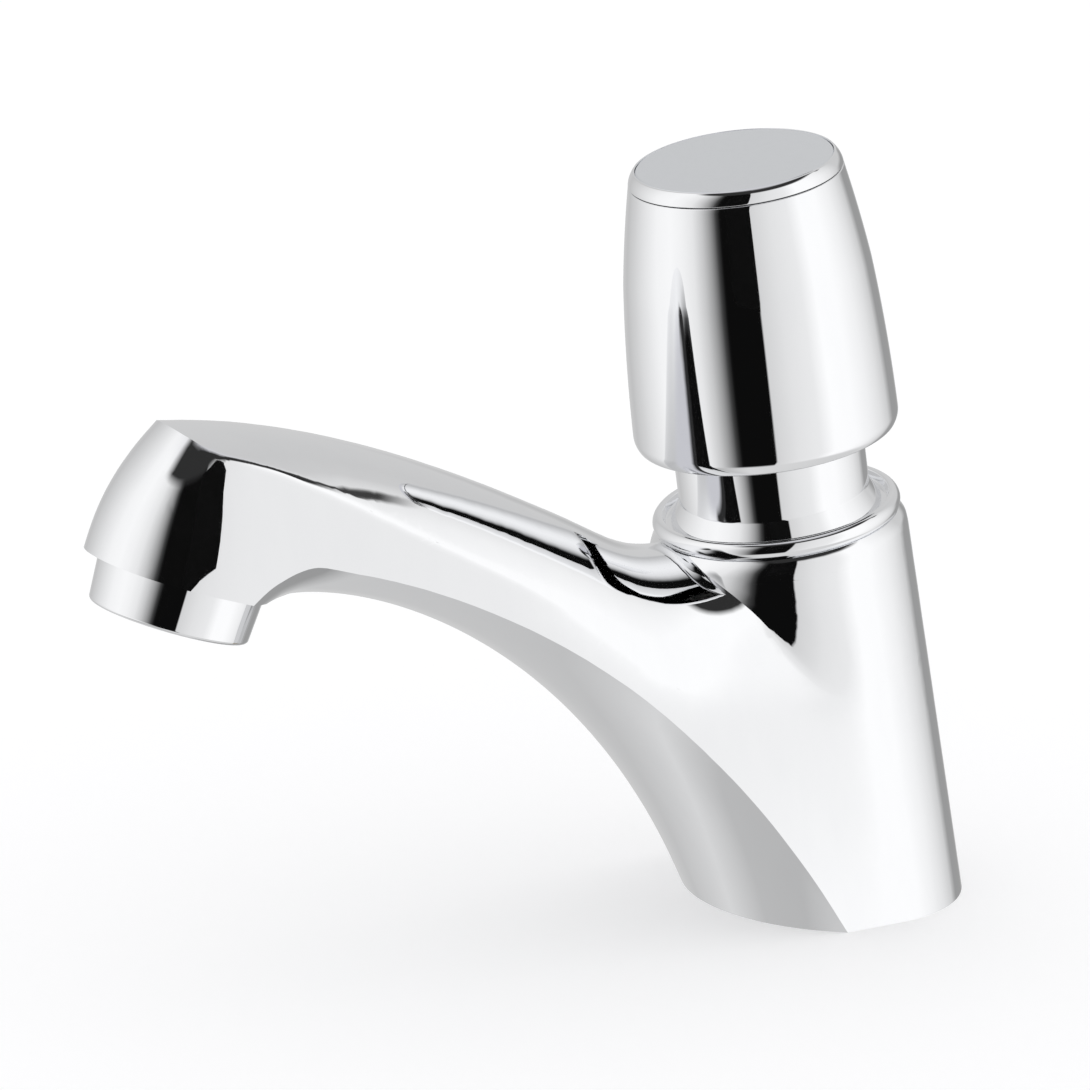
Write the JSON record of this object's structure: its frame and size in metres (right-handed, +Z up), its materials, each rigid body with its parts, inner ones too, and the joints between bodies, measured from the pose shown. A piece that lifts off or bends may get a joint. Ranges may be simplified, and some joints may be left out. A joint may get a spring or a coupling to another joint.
{
  "type": "self-closing basin tap",
  "caption": "Deck-mounted self-closing basin tap: leaning column, arched spout with aerator, and a tapered push button that opens a spring-closed valve.",
  "frame": {"origin": "on the deck plane, where the axis of the threaded tail meets it", "axes": "+Z up out of the deck, the spout points to -X, +Y is across the tap, which is a mirror image of itself about Y = 0"},
  "size_m": [0.1588, 0.0518, 0.1809],
  "materials": {
    "chrome_body": "polished chrome plate",
    "chrome_collar": "polished chrome plate",
    "chrome_neck": "polished chrome plate",
    "chrome_button": "polished chrome plate",
    "chrome_disc": "fine satin chrome plate",
    "chrome_aerator": "polished chrome plate",
    "brass": "turned brass",
    "stainless": "turned stainless steel",
    "zinc_plate": "zinc-plated steel",
    "rubber_black": "moulded black rubber",
    "acetal": "moulded white acetal",
    "insert_plastic": "moulded grey plastic"
  },
  "bodies": {
    "tap": {"tap_body": "chrome_body", "collar_ring": "chrome_collar", "neck_sleeve": "chrome_neck", "guide_bush": "acetal", "spindle_o_ring": "rubber_black", "bush_clip": "stainless", "cartridge_barrel": "acetal", "barrel_o_ring": "rubber_black", "valve_seat": "brass", "seat_o_ring": "rubber_black", "return_spring": "stainless", "aerator_housing": "chrome_aerator", "aerator_insert": "insert_plastic", "aerator_mesh": "stainless", "outlet_washer": "rubber_black", "inlet_tail": "brass", "tail_seal": "rubber_black", "base_gasket": "rubber_black", "rubber_washer": "rubber_black", "steel_washer": "zinc_plate", "backnut": "brass"},
    "plunger": {"spindle": "stainless", "piston": "acetal", "piston_seal": "rubber_black", "valve_washer": "rubber_black", "washer_backing": "brass", "stem_nut": "stainless", "button_screw": "stainless"},
    "button": {"button_shell": "chrome_button", "button_cap": "chrome_button", "index_disc": "chrome_disc", "button_hub": "acetal"}
  },
  "joints": [
    {"name": "button_press", "type": "slide", "parent": "tap", "child": "plunger", "axis": [0.1392, 0, -0.9903], "range_m": [0, 0.008], "stiffness_N_per_m": 1200, "springref_m": -0.012, "deforming": ["return_spring"]},
    {"name": "button_turn", "type": "hinge", "parent": "plunger", "child": "button", "pos_m": [-0.01725, 0, 0.11388], "axis": [-0.1392, 0, 0.9903], "continuous": true}
  ]
}
